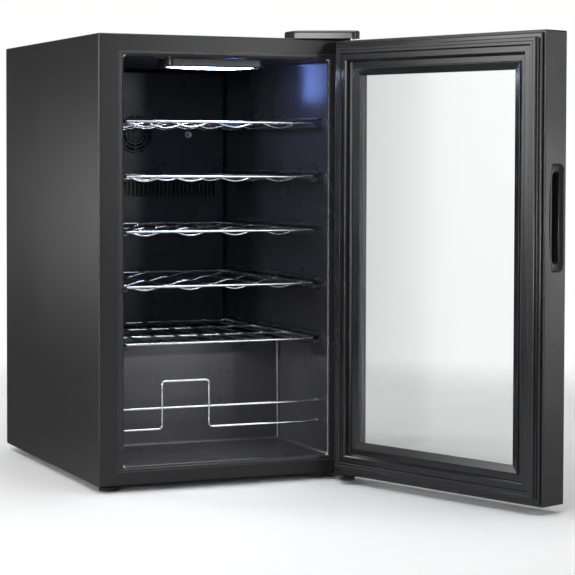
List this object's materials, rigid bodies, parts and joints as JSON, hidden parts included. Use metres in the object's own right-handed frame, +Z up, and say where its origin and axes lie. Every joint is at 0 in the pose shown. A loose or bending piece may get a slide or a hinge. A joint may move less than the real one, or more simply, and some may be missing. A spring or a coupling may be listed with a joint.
{
  "type": "wine cooler",
  "caption": "Free-standing wine cooler: dark cabinet, wire shelves, ceiling lamp and a glazed swing door with a recessed edge grip.",
  "frame": {"origin": "centre of the cabinet's footprint, on the floor", "axes": "+Z up, +Y from the front of the cabinet to its back, +X to the right seen from the front; the stored pose has the door swung open towards -Y"},
  "size_m": [0.6963, 1.1389, 0.8675],
  "materials": {
    "cabinet_paint": "satin charcoal powder coat",
    "black_steel": "matte black paint",
    "foam": "foamed polyurethane",
    "liner_plastic": "satin moulded charcoal plastic",
    "fin_aluminium": "plain rolled",
    "black_plastic": "fine moulded grain",
    "white_plastic": "smooth moulded",
    "lamp_lens": "opal diffuser",
    "hinge_steel": "zinc plated",
    "bright_steel": "zinc plated",
    "gloss_black_plastic": "polished moulded",
    "rubber": "matte",
    "copper_pipe": "drawn copper tube, dulled",
    "chrome_wire": "bright plated wire",
    "door_frame": "satin charcoal",
    "door_inner_plastic": "satin extruded plastic",
    "gasket": "soft satin vinyl",
    "magnet_strip": "bonded ferrite",
    "clear_glass": "clear float glass",
    "spacer_aluminium": "perforated mill finish",
    "pane_sealant": "black butyl",
    "touch_glass": "gloss black touch panel"
  },
  "bodies": {
    "cabinet": {"cabinet_shell": "cabinet_paint", "base_plate": "black_steel", "rear_panel": "cabinet_paint", "insulation": "foam", "liner": "liner_plastic", "evaporator_cover": "liner_plastic", "evaporator": "fin_aluminium", "evaporator_fan_frame": "black_plastic", "temperature_sensor": "white_plastic", "lamp_housing": "liner_plastic", "lamp_board": "white_plastic", "lamp_lens": "lamp_lens", "top_hinge_bracket": "hinge_steel", "top_hinge_pin": "bright_steel", "bottom_hinge_bracket": "black_steel", "bottom_hinge_pin": "bright_steel", "hinge_washer": "white_plastic", "hinge_cover": "gloss_black_plastic", "hinge_screws": "bright_steel", "compressor": "black_steel", "compressor_mounts": "rubber", "condenser": "copper_pipe", "condenser_fan_frame": "black_plastic", "filter_drier": "copper_pipe", "refrigerant_pipes": "copper_pipe", "drip_tray": "black_plastic", "control_box": "black_plastic", "power_inlet": "black_plastic", "rear_cover": "black_steel", "rear_cover_screws": "bright_steel", "drain_tube": "white_plastic", "rear_feet": "rubber", "bottle_guard": "chrome_wire"},
    "evaporator_fan_rotor": {"evaporator_fan_rotor": "black_plastic"},
    "condenser_fan_rotor": {"condenser_fan_rotor": "black_plastic"},
    "left_foot": {"front_foot_left": "rubber"},
    "right_foot": {"front_foot_right": "rubber"},
    "shelf_1": {"shelf_1": "chrome_wire"},
    "shelf_2": {"shelf_2": "chrome_wire"},
    "shelf_3": {"shelf_3": "chrome_wire"},
    "shelf_4": {"shelf_4": "chrome_wire"},
    "shelf_5": {"shelf_5": "chrome_wire"},
    "door": {"door_shell": "door_frame", "door_inner_frame": "door_inner_plastic", "door_gasket": "gasket", "gasket_magnet": "magnet_strip", "inner_pane": "clear_glass", "middle_pane": "clear_glass", "outer_pane": "clear_glass", "pane_spacers": "spacer_aluminium", "pane_seal": "pane_sealant", "handle_cup": "black_plastic", "top_door_bush": "white_plastic", "bottom_door_bush": "white_plastic", "touch_control": "touch_glass", "door_stop": "black_plastic"}
  },
  "joints": [
    {"name": "door_hinge", "type": "hinge", "parent": "cabinet", "child": "door", "pos_m": [0.239, -0.3485, 0.431], "axis": [0, 0, 1], "range_deg": [-109.5, 10]},
    {"name": "shelf_1_slide", "type": "slide", "parent": "cabinet", "child": "shelf_1", "axis": [0, -1, 0], "range_m": [0, 0.25]},
    {"name": "shelf_2_slide", "type": "slide", "parent": "cabinet", "child": "shelf_2", "axis": [0, -1, 0], "range_m": [0, 0.25]},
    {"name": "shelf_3_slide", "type": "slide", "parent": "cabinet", "child": "shelf_3", "axis": [0, -1, 0], "range_m": [0, 0.25]},
    {"name": "shelf_4_slide", "type": "slide", "parent": "cabinet", "child": "shelf_4", "axis": [0, -1, 0], "range_m": [0, 0.25]},
    {"name": "shelf_5_slide", "type": "slide", "parent": "cabinet", "child": "shelf_5", "axis": [0, -1, 0], "range_m": [0, 0.25]},
    {"name": "evaporator_fan_spin", "type": "hinge", "parent": "cabinet", "child": "evaporator_fan_rotor", "pos_m": [0, 0.236, 0.672], "axis": [0, 1, 0], "continuous": true},
    {"name": "condenser_fan_spin", "type": "hinge", "parent": "cabinet", "child": "condenser_fan_rotor", "pos_m": [-0.135, 0.14, 0.0945], "axis": [0, 1, 0], "continuous": true},
    {"name": "left_foot_turn", "type": "hinge", "parent": "cabinet", "child": "left_foot", "pos_m": [-0.228, -0.276, 0.01], "axis": [0, 0, 1], "continuous": true},
    {"name": "right_foot_turn", "type": "hinge", "parent": "cabinet", "child": "right_foot", "pos_m": [0.228, -0.276, 0.01], "axis": [0, 0, 1], "continuous": true}
  ]
}
